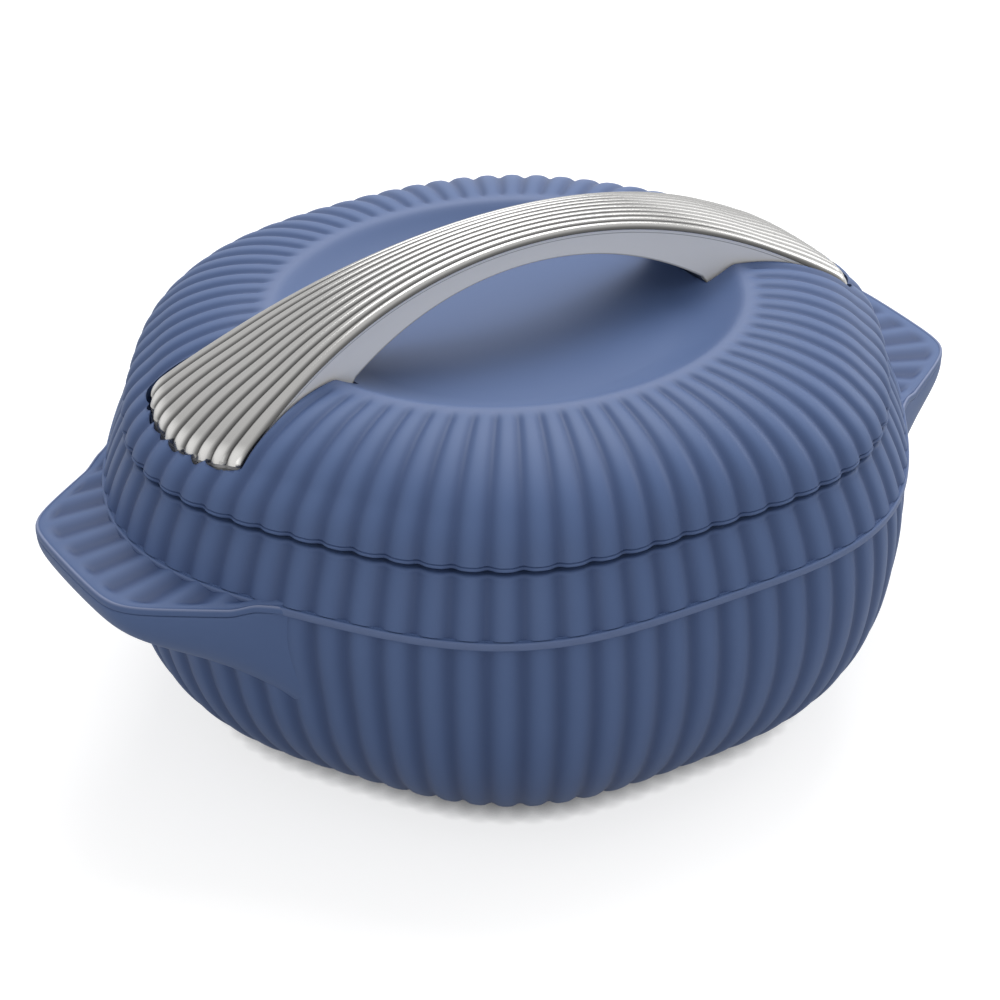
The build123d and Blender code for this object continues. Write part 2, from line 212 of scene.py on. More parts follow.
def turned(name, rows, columns=ring_columns, pole_start=False, pole_end=False, crease=35.0, painted_highlight=None):
    """A profile carried round the plan.

    Each row of the profile has a mean radius, a height, an oval, a lobe, a flute depth and a level
    flag. A point's radius is the mean radius times the plan's stretch, and the flute's dip moves it
    by the depth against the profile's normal, or straight in where the flag is one. The valleys get a
    darker tone, which is painted shade, and each row may have a painted highlight. The profile runs
    from the top outward, down and in again. It closes on itself, or on a pole at either end."""
    rows = np.asarray(rows, float)
    shares = np.arange(columns) / columns
    angle = rim_angles(shares)[None, :]
    radius, height, oval, lobe, depth, flat = (rows[:, k][:, None] for k in range(6))
    slope = np.gradient(rows[:, :2], axis=0)
    length = np.maximum(np.hypot(slope[:, 0], slope[:, 1]), 1e-9)[:, None]
    out = flat - (1.0 - flat) * slope[:, 1][:, None] / length
    up = (1.0 - flat) * slope[:, 0][:, None] / length
    dip = flute_dip(shares)[None, :] * depth
    reach = radius * plan_factor(angle, oval, lobe) - dip * out
    points = np.stack((reach * np.cos(angle), reach * np.sin(angle), height - dip * up), axis=-1)
    count = len(rows)
    points = points.reshape(-1, 3)
    # Painted shade: the tone falls in the flute valleys, more where the flutes are deeper
    hollow = 0.35 * flute_dip(shares) + 0.5 * np.sin(np.pi * flute_count * shares) ** 2
    tone = (1.0 - hollow[None, :] * depth / flute_depth).reshape(-1)
    quads = grid_quads(count, columns, not (pole_start or pole_end), True)
    here = np.arange(columns)
    beside = (here + 1) % columns
    fans = []
    if pole_start:
        fans.append(np.stack((np.full(columns, len(points)), here, beside), axis=-1))
        points = np.vstack((points, (0.0, 0.0, rows[0, 1])))
        tone = np.append(tone, 1.0)
    if pole_end:
        last = (count - 1) * columns
        fans.append(np.stack((last + here, np.full(columns, len(points)), last + beside), axis=-1))
        points = np.vstack((points, (0.0, 0.0, rows[-1, 1])))
        tone = np.append(tone, 1.0)
    shine = None
    if painted_highlight is not None:
        shine = np.append(np.repeat(painted_highlight, columns), np.zeros(len(points) - count * columns))
    return make_piece(name, points, quads, np.vstack(fans) if fans else None, crease, tone, shine)


def rows_of(radius, height, oval, lobe, depth, flat=0.0):
    """Profile rows from arrays or single values."""
    radius = np.asarray(radius, float)
    return np.stack(np.broadcast_arrays(radius, height, oval, lobe, depth, flat), axis=-1)


def carve(piece, cutter):
    """Cuts one closed piece with another and keeps the result as the piece's own mesh."""
    step = piece.modifiers.new("carve", "BOOLEAN")
    step.operation = "DIFFERENCE"
    step.object = cutter
    step.solver = "MANIFOLD"
    bpy.context.view_layer.update()
    shaped = bpy.data.meshes.new_from_object(piece.evaluated_get(bpy.context.evaluated_depsgraph_get()))
    piece.modifiers.clear()
    piece.data = shaped
    bpy.data.objects.remove(cutter)


def settle(piece, body, slot, material, *nodes):
    """Gives a finished piece its body, its material and the solids it stands for; the slot is not used."""
    piece.data.materials.clear()
    piece.data.materials.append(material)
    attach(piece, body)
    if nodes:
        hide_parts(*nodes)


# Materials

# Painted shade for the flute valleys and a painted highlight for the ribs' tops, then the colour of the
# painted highlight on edges
painted_valley_shade = (0.54, 0.57, 0.64, 1.0)
painted_rib_highlight = (1.10, 1.10, 1.09, 1.0)
painted_edge_highlight = (0.26, 0.30, 0.45, 1.0)
# Painted shade for the handle's grooves, and the plating's own colour
painted_groove_shade = (0.03, 0.03, 0.03, 1.0)
plating_colour = (0.95, 0.94, 0.92, 1.0)
steel_dark = (0.55, 0.55, 0.54, 1.0)
steel_light = (0.72, 0.72, 0.71, 1.0)
steel_hairs_per_metre = 2400.0


def node_group(name, inputs, outputs):
    """A shader node group with named sockets; inputs are (name, kind, value)."""
    group = bpy.data.node_groups.new(name, "ShaderNodeTree")
    for label, kind, value in inputs:
        group.interface.new_socket(label, in_out="INPUT", socket_type=kind).default_value = value
    for label, kind in outputs:
        group.interface.new_socket(label, in_out="OUTPUT", socket_type=kind)
    return group, group.nodes.new("NodeGroupInput"), group.nodes.new("NodeGroupOutput")


def add_node(tree, kind, **settings):
    """A node with its settings; a setting whose name is a socket's sets that socket's value."""
    node = tree.nodes.new(kind)
    for label, value in settings.items():
        if hasattr(node, label):
            setattr(node, label, value)
        else:
            node.inputs[label.replace("_", " ")].default_value = value
    return node


def moulded_grain_group():
    """Fine spark-eroded mould grain and slow drift: heights and a drift value from two noises."""
    group, source, sink = node_group(
        "moulded_grain",
        [("Grain per metre", "NodeSocketFloat", 2600.0), ("Drift per metre", "NodeSocketFloat", 22.0)],
        [("Height", "NodeSocketFloat"), ("Drift", "NodeSocketFloat")],
    )
    place = group.nodes.new("ShaderNodeTexCoord")
    grain = add_node(group, "ShaderNodeTexNoise", Detail=2.0, Roughness=0.55)
    drift = add_node(group, "ShaderNodeTexNoise", Detail=3.0, Roughness=0.5)
    for noise, rate in ((grain, "Grain per metre"), (drift, "Drift per metre")):
        group.links.new(place.outputs["Object"], noise.inputs["Vector"])
        group.links.new(source.outputs[rate], noise.inputs["Scale"])
    group.links.new(grain.outputs["Fac"], sink.inputs["Height"])
    group.links.new(drift.outputs["Fac"], sink.inputs["Drift"])
    return group


grain_group = moulded_grain_group()


def spread(tree, value, low, high):
    """A noise's value, from a quarter to three quarters, spread between a low and a high end."""
    step = add_node(tree, "ShaderNodeMapRange")
    step.inputs["From Min"].default_value = 0.25
    step.inputs["From Max"].default_value = 0.75
    step.inputs["To Min"].default_value = low
    step.inputs["To Max"].default_value = high
    tree.links.new(value, step.inputs["Value"])
    return step.outputs["Result"]


def moulded(name, dark, light, rough, grain_rate, bump, painted_light=False, specular=0.5):
    """Moulded plastic: two close shades by slow drift and grain as bump. With painted light, the tone
    paints shade into the valleys and a highlight onto the ribs, and the painted highlight lightens the
    edges."""
    material = bpy.data.materials.new(name)
    material.use_nodes = True
    tree = material.node_tree
    shader = tree.nodes["Principled BSDF"]
    shader.inputs["Specular IOR Level"].default_value = specular
    grain = tree.nodes.new("ShaderNodeGroup")
    grain.node_tree = grain_group
    grain.inputs["Grain per metre"].default_value = grain_rate
    shade = add_node(tree, "ShaderNodeMix", data_type="RGBA")
    shade.inputs[6].default_value = (*dark, 1.0)
    shade.inputs[7].default_value = (*light, 1.0)
    tree.links.new(spread(tree, grain.outputs["Drift"], 0.0, 1.0), shade.inputs[0])
    colour = shade.outputs[2]
    roughness = spread(tree, grain.outputs["Drift"], rough - 0.04, rough + 0.04)
    if painted_light:
        # Painted shade in the valleys and a painted highlight on the ribs, both by the tone
        tone = add_node(tree, "ShaderNodeAttribute", attribute_name="tone")
        lift = add_node(tree, "ShaderNodeMix", data_type="RGBA", blend_type="MULTIPLY")
        lift.inputs[0].default_value = 1.0
        ramp = add_node(tree, "ShaderNodeMix", data_type="RGBA")
        ramp.inputs[6].default_value = painted_valley_shade
        ramp.inputs[7].default_value = painted_rib_highlight
        tree.links.new(tone.outputs["Fac"], ramp.inputs[0])
        tree.links.new(colour, lift.inputs[6])
        tree.links.new(ramp.outputs[2], lift.inputs[7])
        # Painted highlight on the crest, the bead and the ears' lips
        edge = add_node(tree, "ShaderNodeAttribute", attribute_name="painted_highlight")
        highlighted = add_node(tree, "ShaderNodeMix", data_type="RGBA")
        highlighted.inputs[7].default_value = painted_edge_highlight
        tree.links.new(edge.outputs["Fac"], highlighted.inputs[0])
        tree.links.new(lift.outputs[2], highlighted.inputs[6])
        colour = highlighted.outputs[2]
    tree.links.new(colour, shader.inputs["Base Color"])
    tree.links.new(roughness, shader.inputs["Roughness"])
    dent = add_node(tree, "ShaderNodeBump", Strength=bump, Distance=mark_height)
    tree.links.new(grain.outputs["Height"], dent.inputs["Height"])
    tree.links.new(dent.outputs["Normal"], shader.inputs["Normal"])
    return material


def plated(name):
    """Bright plating: the tone runs from painted shade in the grooves to the plating's own colour, lighter
    where highlights are painted on the rib tips; hairline polishing marks along the bow, and a slow drift
    in roughness; the ribs mirror, and the smooth walls have a satin finish."""
    material = bpy.data.materials.new(name)
    material.use_nodes = True
    tree = material.node_tree
    shader = tree.nodes["Principled BSDF"]
    place = tree.nodes.new("ShaderNodeTexCoord")
    along = add_node(tree, "ShaderNodeMapping")
    along.inputs["Scale"].default_value = (30.0, 4200.0, 4200.0)
    tree.links.new(place.outputs["Object"], along.inputs["Vector"])
    hair = add_node(tree, "ShaderNodeTexNoise", Scale=1.0, Detail=2.0)
    tree.links.new(along.outputs["Vector"], hair.inputs["Vector"])
    drift = add_node(tree, "ShaderNodeTexNoise", Scale=40.0, Detail=2.0)
    tree.links.new(place.outputs["Object"], drift.inputs["Vector"])
    tone = add_node(tree, "ShaderNodeAttribute", attribute_name="tone")
    shade = add_node(tree, "ShaderNodeMix", data_type="RGBA")
    shade.inputs[6].default_value = painted_groove_shade
    shade.inputs[7].default_value = plating_colour
    tree.links.new(tone.outputs["Fac"], shade.inputs[0])
    tree.links.new(shade.outputs[2], shader.inputs["Base Color"])
    mirror = add_node(tree, "ShaderNodeAttribute", attribute_name="mirror")
    tree.links.new(mirror.outputs["Fac"], shader.inputs["Metallic"])
    tree.links.new(spread(tree, drift.outputs["Fac"], 0.20, 0.26), shader.inputs["Roughness"])
    dent = add_node(tree, "ShaderNodeBump", Strength=0.015, Distance=mark_height)
    tree.links.new(hair.outputs["Fac"], dent.inputs["Height"])
    tree.links.new(dent.outputs["Normal"], shader.inputs["Normal"])
    return material


def spun_steel(name):
    """Satin steel spun on the bowl's axis: noise drawn out round the axis, from angle and radius."""
    material = bpy.data.materials.new(name)
    material.use_nodes = True
    tree = material.node_tree
    shader = tree.nodes["Principled BSDF"]
    shader.inputs["Metallic"].default_value = 1.0
    place = tree.nodes.new("ShaderNodeTexCoord")
    parts = tree.nodes.new("ShaderNodeSeparateXYZ")
    tree.links.new(place.outputs["Object"], parts.inputs[0])
    flat = add_node(tree, "ShaderNodeVectorMath", operation="LENGTH")
    level = tree.nodes.new("ShaderNodeCombineXYZ")
    tree.links.new(parts.outputs[0], level.inputs[0])
    tree.links.new(parts.outputs[1], level.inputs[1])
    tree.links.new(level.outputs[0], flat.inputs[0])
    drawn = tree.nodes.new("ShaderNodeCombineXYZ")
    for socket, output in ((0, flat.outputs["Value"]), (1, parts.outputs[2])):
        fine = add_node(tree, "ShaderNodeMath", operation="MULTIPLY")
        fine.inputs[1].default_value = steel_hairs_per_metre
        tree.links.new(output, fine.inputs[0])
        tree.links.new(fine.outputs[0], drawn.inputs[socket])
    hair = add_node(tree, "ShaderNodeTexNoise", Scale=1.0, Detail=3.0)
    tree.links.new(drawn.outputs[0], hair.inputs["Vector"])
    drift = add_node(tree, "ShaderNodeTexNoise", Scale=18.0, Detail=2.0)
    tree.links.new(place.outputs["Object"], drift.inputs["Vector"])
    shade = add_node(tree, "ShaderNodeMix", data_type="RGBA")
    shade.inputs[6].default_value = steel_dark
    shade.inputs[7].default_value = steel_light
    tree.links.new(hair.outputs["Fac"], shade.inputs[0])
    tree.links.new(shade.outputs[2], shader.inputs["Base Color"])
    tree.links.new(spread(tree, drift.outputs["Fac"], 0.24, 0.34), shader.inputs["Roughness"])
    dent = add_node(tree, "ShaderNodeBump", Strength=0.12, Distance=mark_height)
    tree.links.new(hair.outputs["Fac"], dent.inputs["Height"])
    tree.links.new(dent.outputs["Normal"], shader.inputs["Normal"])
    return material


slate_plastic = moulded("slate_plastic", (0.080, 0.127, 0.266), (0.090, 0.140, 0.284), 0.50, 2600.0, 0.05,
                        painted_light=True, specular=0.24)
dark_plastic = moulded("dark_plastic", (0.05, 0.07, 0.13), (0.06, 0.085, 0.15), 0.55, 2000.0, 0.1)
pale_plastic = moulded("pale_plastic", (0.76, 0.76, 0.74), (0.82, 0.82, 0.8), 0.42, 2200.0, 0.05)
soft_silicone = moulded("soft_silicone", (0.66, 0.68, 0.7), (0.74, 0.76, 0.77), 0.6, 1500.0, 0.05)
cell_foam = moulded("cell_foam", (0.74, 0.64, 0.4), (0.86, 0.78, 0.56), 0.9, 900.0, 0.8)
bright_plating = plated("bright_plating")
satin_steel = spun_steel("satin_steel")


# Lid: the fluted dome with the dish, closed below, then hollowed and pocketed


def dish_height(radius):
    """Height of the dish: the crest less the depth, by a parabola over the slope's width that starts
    with a small round, and less a slow sag towards the middle."""
    inward = crest_radius - radius
    share = np.clip((np.hypot(inward, crest_round) - crest_round) / dish_slope_width, 0.0, 1.0)
    return crest - dish_depth * share * (2.0 - share) - dish_sag * smooth_step(8.0, crest_radius, inward)


lid_profile = ((rim_radius, lid_edge + 1.7), (115.4, 119.6), (97.0, crest), (crest_radius, crest))


def lid_rows():
    """Profile of the lid: dish, dome, a fine line above the lip, the rounded lip and the flat underside."""
    dish_radius = np.concatenate((np.linspace(4.0, crest_radius - dish_slope_width, 8),
                                  np.linspace(crest_radius - dish_slope_width, crest_radius, 20)[1:]))
    dish = rows_of(dish_radius, dish_height(dish_radius), crest_oval, 0.0, 0.0)
    dome = cubic(lid_profile, np.linspace(1.0, 0.0, 54)[1:])
    far_out = (dome[:, 0] - crest_radius) / (rim_radius - crest_radius)
    dip = end_dip / 2 * smooth_step(0.15, 0.6, far_out) * smooth_step(1.0, 0.84, far_out)
    oval = crest_oval + (rim_oval - crest_oval) * far_out - dip
    depth = flute_depth_at(dome[:, 0], rim_radius) * smooth_step(73.5, 78.5, dome[:, 0])
    dome = rows_of(dome[:, 0] * (1.0 - dip), dome[:, 1], oval, rim_lobe * far_out ** 1.2, depth)
    lip = np.array(((-0.4, 1.55), (-0.4, 1.4), (0.1, 1.2), (0.25, 0.9), (0.15, 0.45), (-0.2, 0.15),
                    (-0.8, 0.0), (-3.0, 0.0))) + (rim_radius, lid_edge)
    lip = rows_of(lip[:, 0], lip[:, 1], rim_oval, rim_lobe, flute_depth, 1.0)
    return np.vstack((dish, dome, lip, rows_of([rim_radius / 2], lid_edge, rim_oval, 0.0, 0.0)))


def painted_crest_highlight(rows):
    """Painted highlight along the crest: a bell curve of the distance from it, on top of the lid only."""
    bell = np.exp(-((rows[:, 0] - crest_radius - 0.6) / 2.6) ** 2)
    return crest_shine * bell * (rows[:, 1] > crest - 3.0)


def hollow_rows():
    """Profile of the room inside the lid: the dish and the dome moved in by the wall, open below."""
    dish_radius = np.linspace(4.0, crest_radius, 24)
    dome = cubic(lid_profile, np.linspace(1.0, 0.0, 28)[1:])
    line = np.vstack((np.stack((dish_radius, dish_height(dish_radius)), axis=-1), dome))
    inner = moved_in(line, wall)
    floor_level = 95.0
    inner = np.vstack((inner, (inner[-1, 0], floor_level), (rim_radius / 2, floor_level)))
    return rows_of(inner[:, 0], inner[:, 1], rim_oval, 0.5 * rim_lobe, 0.0)


# Handle's plan, side view and ribs


def bow_height(x):
    """Height of the handle's edge: an arc from the top of the bow down to its corners."""
    radius = (handle_corner ** 2 + handle_end_drop ** 2) / (2 * handle_end_drop)
    return handle_edge_top - radius + np.sqrt(radius ** 2 - x * x)


def half_width(x):
    """Half of the handle's width: a power of the distance from the waist."""
    share = (np.abs(x) / handle_corner) ** handle_flare_curve
    return handle_waist + (handle_flare - handle_waist) * share


def wall_lean(x):
    """How far the handle's wall leans in at its foot: much under the bow, little at the ends."""
    return handle_lean - (handle_lean - 0.6) * smooth_step(72.0, 100.0, np.abs(x))


def rib_place(across):
    """Place across a rib, from -1 at one groove to 1 at the next."""
    return 2.0 * np.mod((across + 1.0) / 2.0 * handle_ribs, 1.0) - 1.0


def end_reach(across):
    """Where the handle ends: an arc across the end, with a small round tip on every rib."""
    tip = handle_reach - (handle_reach - handle_corner) * across ** 2
    return tip - tip_scallop * np.abs(rib_place(across)) ** 2.2


def grip_arch(x):
    """Height of the bow's underside: an arc between the feet, then down into the pockets."""
    rise = grip_top - grip_foot
    radius = (grip_half_span ** 2 + rise ** 2) / (2 * rise)
    arch = grip_top - radius + np.sqrt(np.maximum(radius ** 2 - x * x, 1.0))
    foot = smooth_step(grip_half_span, grip_half_span + 1.5, np.abs(x))
    return arch * (1 - foot) + (pocket_floor + 0.3) * foot


def pocket_cutter(name, grow, bottom):
    """Two upright blocks with the plan of the handle's feet, grown all round, from the bottom up."""
    across = np.linspace(-1.0, 1.0, 101)
    along = np.linspace(0.0, 1.0, 24)
    start = grip_half_span - grow
    side_x = start + (handle_corner - start) * along
    side = np.stack((side_x, half_width(side_x) - 0.7 * (wall_lean(side_x) - 0.6) + grow), axis=-1)
    end_x = end_reach(across) + grow + pocket_end_gap
    end = np.stack((end_x, across * (handle_flare + grow)), axis=-1)
    loop = np.vstack((side * (1, -1), end[1:-1], side[::-1]))
    count = len(loop)
    middle = np.array(((side_x.mean(), 0.0),))
    blocks, faces, fans = [], [], []
    for turn in (1, -1):
        first = sum(len(block) for block in blocks)
        outline = loop * turn
        blocks.append(np.vstack((np.column_stack((outline, np.full(count, pocket_top))),
                                 np.column_stack((outline, np.full(count, bottom))),
                                 np.column_stack((middle * turn, (pocket_top,))),
                                 np.column_stack((middle * turn, (bottom,))))))
        faces.append(grid_quads(2, count, False, True, first))
        here = np.arange(count)
        beside = (here + 1) % count
        upper_middle = np.full(count, 2 * count)
        fans.append(np.stack((upper_middle, here, beside), axis=-1) + first)
        fans.append(np.stack((count + here, upper_middle + 1, count + beside), axis=-1) + first)
    return make_piece(name, np.vstack(blocks), np.vstack(faces), np.vstack(fans))


lid_crease = 32.0
lid_lines = lid_rows()
lid_dome = turned("lid_dome", lid_lines, pole_start=True, pole_end=True, crease=lid_crease,
                  painted_highlight=painted_crest_highlight(lid_lines))
lid_room = turned("lid_room", hollow_rows(), columns=room_columns, pole_start=True, pole_end=True)
carve(lid_room, pocket_cutter("pocket_wall", pocket_gap + pocket_wall, pocket_floor - pocket_wall))
carve(lid_dome, lid_room)
carve(lid_dome, pocket_cutter("pocket", pocket_gap, pocket_floor))
lid_dome.data.set_sharp_from_angle(angle=math.radians(lid_crease))
settle(lid_dome, "lid", "blue_plastic", slate_plastic, "lid_shell")


# Collar: the fluted band with its rounded lip and its bead, open inside for the bowl


def collar_rows():
    """Profile of the collar: seat of the bowl's flange, lip, fluted face, bead, and back up inside."""
    top = rows_of([100.3, 107.3, 107.3, 107.6, 109.0], [99.6, 99.6, 100.2, 100.4, 100.4], 0.0, 0.0, 0.0)
    lip_turn = np.linspace(0.0, np.pi / 2, 7)
    lip_foot = collar_top - collar_lip_round
    lip = rows_of(rim_radius - collar_lip_round + collar_lip_round * np.sin(lip_turn),
                  lip_foot + collar_lip_round * np.cos(lip_turn), rim_oval, rim_lobe,
                  flute_depth * np.linspace(0.55, 1.0, 7), 1.0)
    drop = np.linspace(0.0, 1.0, 16)[1:]
    swell = 0.5 * np.sin(np.pi * drop)
    face = rows_of(rim_radius + (collar_foot_radius - rim_radius) * drop + swell,
                   lip_foot - (lip_foot - collar_foot - 0.25) * drop, rim_oval, rim_lobe, flute_depth, 1.0)
    bead = np.array(((-1.15, 0.2), (-1.15, -0.1), (-0.4, -0.05), (-0.1, -0.3), (0.0, -0.7), (-0.05, -2.1),
                     (-0.35, -2.65), (-0.95, -2.8), (-2.65, -2.8))) + (bead_radius, collar_foot)
    bead = rows_of(bead[:, 0], bead[:, 1], rim_oval, rim_lobe, 0.0)
    plan = np.array((1.0, 1.0, 1.0, 0.0, 0.0))
    inside = rows_of([118.0, 116.2, 116.2, 112.0, 100.3], [79.8, 80.2, 97.4, 97.4, 97.4],
                     rim_oval * plan, rim_lobe * plan, 0.0)
    return np.vstack((top, lip, face, bead, inside))


def painted_bead_highlight(rows):
    """Painted highlight on the face of the bead: the rows that stand out furthest and have no flutes."""
    return bead_shine * (rows[:, 0] > bead_radius - 0.15) * (rows[:, 4] == 0.0)


collar_lines = collar_rows()
collar = turned("collar", collar_lines, crease=40.0, painted_highlight=painted_bead_highlight(collar_lines))
settle(collar, "body", "blue_plastic", slate_plastic, "rim_collar")


# Ears: fluted plates that run out from the bead, each over a smooth gusset

ear_reach = 155.2
ear_top = 83.1
ear_lip = 80.3
ear_root_lip = 82.2
ear_root = 126.5
ear_thickness = 2.0
ear_flutes = 1.2
ear_inner = 121.0
ear_half_angle = 27.0
ear_end_bow = 0.001
ear_side_distance = 109.4
ear_side_normal = (0.551, 0.835)
ear_corner_power = 38.0
bead_blend_power = 90.0
lip_rise_angles = (20.5, 24.0)
ear_lip_width = 1.6
ear_fade_start = 6.0
ear_fade_end = 3.0


def ear_radius(angle):
    """Polar outline of an ear: a soft minimum of a slightly bowed end and two straight sides."""
    turn = np.abs(angle)
    end = ear_reach / np.cos(turn)
    end = end - ear_end_bow * (end * np.sin(turn)) ** 2 / np.cos(turn)
    side = ear_side_distance / (ear_side_normal[0] * np.cos(turn) + ear_side_normal[1] * np.sin(turn))
    return (end ** -ear_corner_power + side ** -ear_corner_power) ** (-1.0 / ear_corner_power)


def plate_radius(angle):
    """Outline of an ear's plate: a soft maximum of the ear's outline and a line behind the bead's face."""
    bead = bead_radius * plan_factor(angle, rim_oval, rim_lobe) - 0.7
    return (ear_radius(angle) ** bead_blend_power + bead ** bead_blend_power) ** (1.0 / bead_blend_power)


def lip_level(angle):
    """Height of the ear's lip: level round the ear, and rising at the roots to meet the bead."""
    start, end = np.radians(lip_rise_angles)
    return ear_lip + (ear_root_lip - ear_lip) * smooth_step(start, end, np.abs(angle))


def ear_points(turns):
    """Rows across the ear from under the collar out to the rim and back below, for given angles.

    Going out, the radius runs from the collar to the outline, and the height falls evenly to the lip.
    Flutes in line with the collar's sink into the top as the square of a sine and fade before the
    rim, which stands up as a thin rounded lip. Shade is painted into the flute valleys, and a highlight
    is painted along the lip."""
    outline = plate_radius(turns)
    lip = lip_level(turns)
    dip = np.sin(np.pi * flute_count * rim_shares(turns)) ** 2
    root = np.full_like(outline, ear_inner)
    lines, tones = [], []
    for share in np.linspace(0.0, 1.0, 30):
        radius = root + (outline - ear_lip_width - root) * share
        fade = smooth_step(ear_fade_end, ear_fade_start, outline - radius)
        fall = np.clip((radius - ear_root) / (outline - ear_root), -0.5, 1.0)
        lines.append((radius, ear_top + (lip - ear_top) * fall - ear_flutes * dip * fade))
        # Painted shade in the flute valleys
        tones.append(1.0 - dip ** 0.7 * fade)
    # Edge rows: out, up and the painted highlight along the lip
    edge = ((-1.25, 0.05, 0.0), (-1.0, 0.22, 0.3), (-0.72, 0.34, 0.8), (-0.42, 0.26, 0.8),
            (-0.16, 0.0, 0.3), (-0.03, -0.35, 0.0), (0.0, -0.8, 0.0), (0.0, -1.6, 0.0),
            (-0.1, -1.85, 0.0), (-0.4, -ear_thickness, 0.0), (-2.0, -ear_thickness, 0.0))
    shines = [np.zeros_like(outline) for line in lines]
    for out, up, shine in edge:
        lines.append((outline + out, lip + up))
        tones.append(np.ones_like(outline))
        shines.append(np.full_like(outline, shine))
    lines.append((root, lip - ear_thickness))
    tones.append(np.ones_like(outline))
    shines.append(np.zeros_like(outline))
    radius = np.stack([line[0] for line in lines])
    height = np.stack([line[1] for line in lines])
    return radius, height, np.stack(tones), np.stack(shines)


def rim_shares(angle):
    """Share of the way round the rim at an angle: the reverse of the rim's angles."""
    fine = np.linspace(0.0, 1.0, 20001)
    return np.interp(np.mod(angle, 2 * np.pi), rim_angles(fine), fine)


def ear_plate(name, middle):
    """One ear: its rows carried over the angles of the ear and closed at both ends inside the bead."""
    turns = np.radians(np.linspace(-ear_half_angle, ear_half_angle, 181))
    radius, height, tone, shine = ear_points(turns)
    angle = turns[None, :] + middle
    points = np.stack((radius * np.cos(angle), radius * np.sin(angle), height), axis=-1)
    rows, columns = radius.shape
    points = points.reshape(-1, 3)
    quads = grid_quads(rows, columns, True, False)
    ring = np.arange(rows) * columns
    after = np.roll(ring, -1)
    caps = []
    for column, flip in ((0, True), (columns - 1, False)):
        centre = points[ring + column].mean(axis=0)
        corners = (np.full(rows, len(points)), ring + column, after + column)
        caps.append(np.stack(corners[::-1] if flip else corners, axis=-1))
        points = np.vstack((points, centre))
    tone = np.append(tone.reshape(-1), (1.0, 1.0))
    shine = np.append(shine.reshape(-1), (0.0, 0.0))
    return make_piece(name, points, quads, np.vstack(caps), 40.0, tone, shine)


for ear_name, ear_middle in (("ear_plate_left", math.pi), ("ear_plate_right", 0.0)):
    ear = ear_plate(ear_name, ear_middle)
    settle(ear, "body", "blue_plastic", slate_plastic, "rim_collar")


# Body: the fluted lower wall

body_profile = ((base_radius, 0.0), (base_radius + 28.4, 0.0), (body_radius + 8.9, body_height - 45.0),
                (body_radius - 0.2, body_height))


def body_line(shares):
    """Radius and height along the body's wall: a cubic, widened near the top to meet the bead."""
    line = cubic(body_profile, shares)
    line[:, 0] += top_widening * smooth_step(body_ease_start, body_height, line[:, 1])
    return line


def body_stretch(height):
    """The body's oval and lobe at a height: its own below, easing into the collar's near the top."""
    ease = smooth_step(body_ease_start, body_height, height)
    return body_oval + (rim_oval - body_oval) * ease, body_lobe + (rim_lobe - body_lobe) * ease


def body_rows():
    """Profile of the body: top edge, fluted wall down to the base, cover ledge, and up inside."""
    line = body_line(np.linspace(1.0, 0.0, 60))
    oval, lobe = body_stretch(line[:, 1])
    depth = flute_depth_at(line[:, 0], body_radius) * smooth_step(76.0, 92.0, line[:, 0])
    outside = rows_of(line[:, 0], line[:, 1], oval, lobe, depth)
    base = rows_of([66.8, 66.3, 66.3, 60.0, 60.0], [0.0, 0.3, 2.2, 2.2, 3.8], 0.0, 0.0, 0.0)
    inner = moved_in(line, wall)[::-3]
    inside = rows_of(inner[:, 0], np.clip(inner[:, 1], wall, body_height), oval[::-3], lobe[::-3], 0.0)
    return np.vstack((rows_of([120.5], body_height, rim_oval, rim_lobe, 0.0), outside, base, inside))


body_wall = turned("body_wall", body_rows(), crease=40.0)
settle(body_wall, "body", "blue_plastic", slate_plastic, "body_shell")


def body_reach(angle, height):
    """Radius of the body's ribs at a height: the wall's line read by height, times the plan's stretch."""
    line = body_line(np.linspace(0.0, 1.0, 400))
    return np.interp(height, line[:, 1], line[:, 0]) * plan_factor(angle, *body_stretch(height))


gusset_top_angle = 27.4
gusset_foot_angle = 30.4
gusset_foot_height = 52.8
gusset_foot_drop = 12.823
gusset_sink = 1.6
gusset_wall = 2.5
gusset_inset = 0.15
gusset_gap = 0.2
gusset_upright = 5.0
gusset_sweep = 19.0
gusset_sweep_rise = 9.5
gusset_root_rise = 6.0


